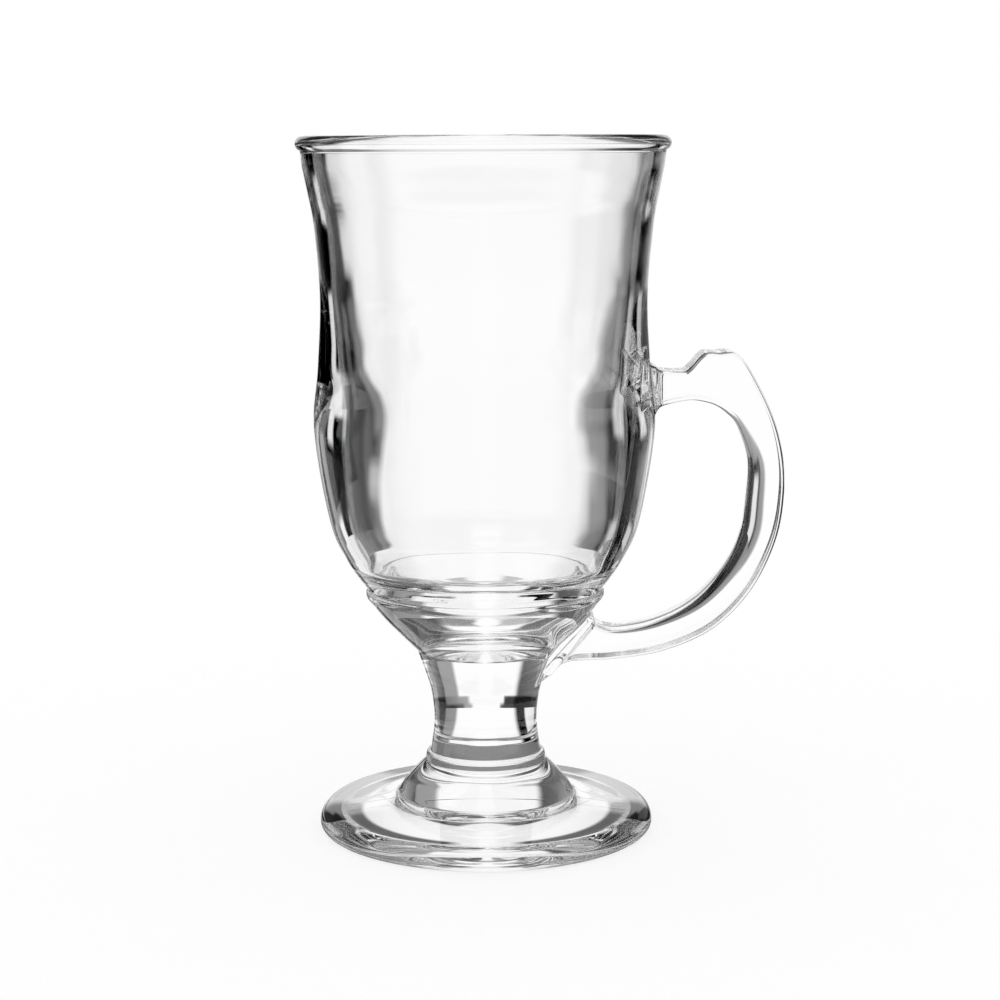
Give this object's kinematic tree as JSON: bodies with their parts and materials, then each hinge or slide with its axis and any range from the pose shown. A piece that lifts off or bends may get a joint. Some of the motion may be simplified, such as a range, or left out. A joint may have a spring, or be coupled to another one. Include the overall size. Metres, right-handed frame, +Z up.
{
  "type": "irish coffee glass mug",
  "caption": "Clear footed glass mug with a waisted bowl, a rolled rim, a short solid stem, a round foot and a loop handle with a thumb rest.",
  "frame": {"origin": "on the axis of the bowl, stem and foot, at the surface that the foot stands on", "axes": "+Z up along the axis of the bowl, +X towards the handle, +Y towards the back of the picture's view"},
  "size_m": [0.1012, 0.0774, 0.146],
  "materials": {
    "glass": "clear pressed soda-lime glass, fire polished"
  },
  "bodies": {
    "root": {"bowl": "glass", "capital": "glass", "stem": "glass", "foot": "glass", "handle": "glass"}
  },
  "joints": []
}
